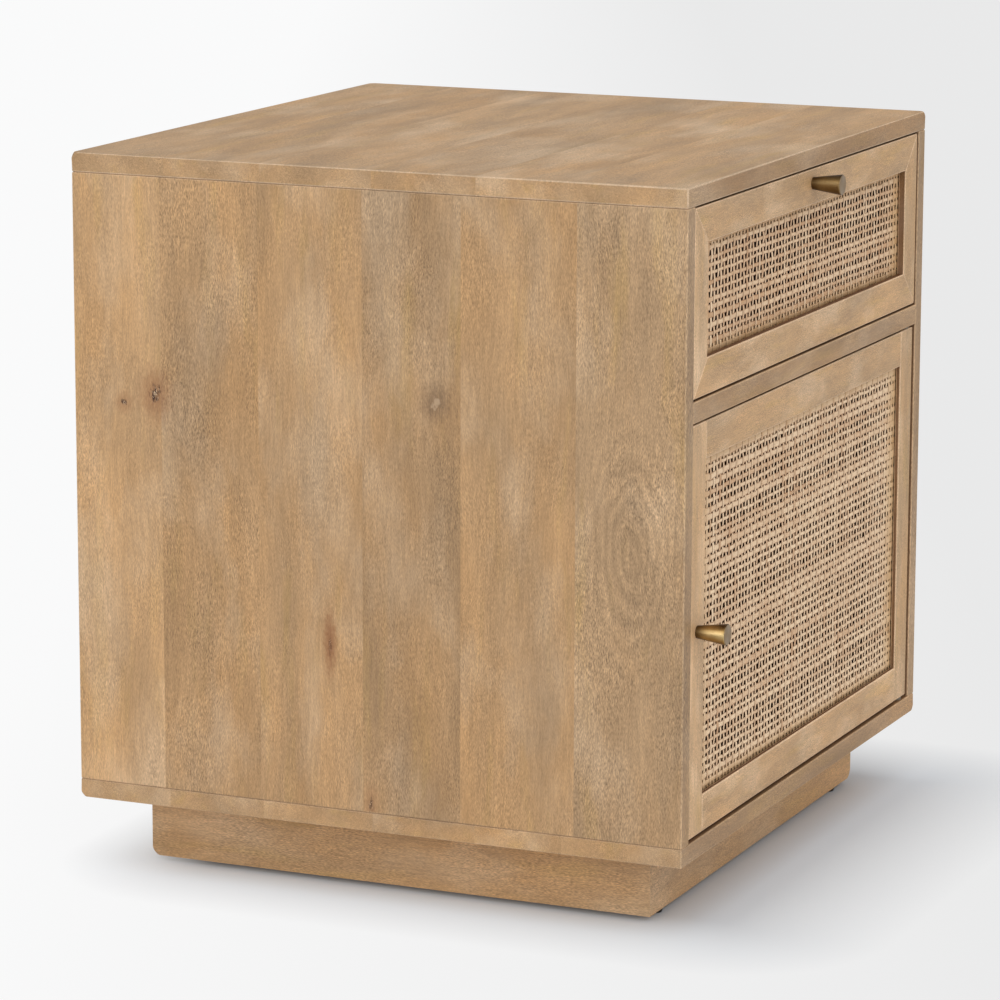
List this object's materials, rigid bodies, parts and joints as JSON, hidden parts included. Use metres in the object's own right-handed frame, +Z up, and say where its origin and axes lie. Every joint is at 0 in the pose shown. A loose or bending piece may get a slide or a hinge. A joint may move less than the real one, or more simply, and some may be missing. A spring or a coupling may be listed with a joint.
{
  "type": "accent table",
  "caption": "Small wooden side cabinet on a set-back plinth, with a cane-fronted drawer over a cane-fronted hinged door and conical brass knobs.",
  "frame": {"origin": "centre of the part's box on the floor, under the glides", "axes": "+X to the right seen from the front, -Y to the front where the drawer and door open, +Z up"},
  "size_m": [0.53, 0.523, 0.56],
  "materials": {
    "mango_wood": "satin, sandy tan",
    "plywood": "sanded veneer",
    "stained_board": "dark stain",
    "woven_cane": "natural woven cane",
    "antique_brass": "brushed, aged",
    "steel": "zinc plated",
    "dark_plastic": "moulded",
    "nylon": "moulded",
    "ferrite": "sintered"
  },
  "bodies": {
    "carcass": {"top_panel": "mango_wood", "bottom_panel": "mango_wood", "left_side_panel": "mango_wood", "right_side_panel": "mango_wood", "divider_panel": "mango_wood", "back_panel": "plywood", "back_panel_screws": "steel", "carcass_dowels": "mango_wood", "plinth_front_board": "mango_wood", "plinth_back_board": "mango_wood", "plinth_left_board": "mango_wood", "plinth_right_board": "mango_wood", "plinth_corner_blocks": "mango_wood", "plinth_screws": "steel", "foot_glides": "dark_plastic", "left_slide_outer": "steel", "right_slide_outer": "steel", "slide_outer_screws": "steel", "door_pivot_pins": "steel", "door_pivot_washer": "nylon", "catch_body": "dark_plastic", "catch_magnet": "ferrite", "catch_screws": "steel"},
    "drawer": {"drawer_top_rail": "mango_wood", "drawer_bottom_rail": "mango_wood", "drawer_left_stile": "mango_wood", "drawer_right_stile": "mango_wood", "drawer_cane": "woven_cane", "drawer_cane_cross_beads": "mango_wood", "drawer_cane_upright_beads": "mango_wood", "drawer_box_front": "stained_board", "drawer_box_back": "mango_wood", "drawer_box_left_side": "mango_wood", "drawer_box_right_side": "mango_wood", "drawer_bottom": "plywood", "drawer_front_screws": "steel", "left_slide_inner": "steel", "right_slide_inner": "steel", "slide_inner_screws": "steel", "drawer_knob": "antique_brass", "drawer_knob_screw": "steel"},
    "slide_middles": {"left_slide_middle": "steel", "right_slide_middle": "steel"},
    "outer_cages": {"outer_roller_cages": "nylon", "outer_slide_rollers": "steel"},
    "inner_cages": {"inner_roller_cages": "nylon", "inner_slide_rollers": "steel"},
    "door": {"door_left_stile": "mango_wood", "door_right_stile": "mango_wood", "door_top_rail": "mango_wood", "door_bottom_rail": "mango_wood", "door_cane": "woven_cane", "door_cane_cross_beads": "mango_wood", "door_cane_upright_beads": "mango_wood", "door_knob": "antique_brass", "door_knob_screw": "steel", "door_pivot_bushes": "nylon", "catch_plate": "steel", "catch_plate_screw": "steel"}
  },
  "joints": [
    {"name": "drawer_slide", "type": "slide", "parent": "carcass", "child": "drawer", "axis": [0, -1, 0], "range_m": [0, 0.35]},
    {"name": "middle_slide", "type": "slide", "parent": "carcass", "child": "slide_middles", "axis": [0, -1, 0], "range_m": [0, 0.175]},
    {"name": "outer_cage_slide", "type": "slide", "parent": "carcass", "child": "outer_cages", "axis": [0, -1, 0], "range_m": [0, 0.0875]},
    {"name": "inner_cage_slide", "type": "slide", "parent": "carcass", "child": "inner_cages", "axis": [0, -1, 0], "range_m": [0, 0.2625]},
    {"name": "door_hinge", "type": "hinge", "parent": "carcass", "child": "door", "pos_m": [0.2375, -0.2315, 0.2295], "axis": [0, 0, 1], "range_deg": [0, 110]}
  ],
  "couplings": [
    {"joint": "middle_slide", "follows": "drawer_slide", "ratio": 0.5},
    {"joint": "outer_cage_slide", "follows": "drawer_slide", "ratio": 0.25},
    {"joint": "inner_cage_slide", "follows": "drawer_slide", "ratio": 0.75}
  ]
}
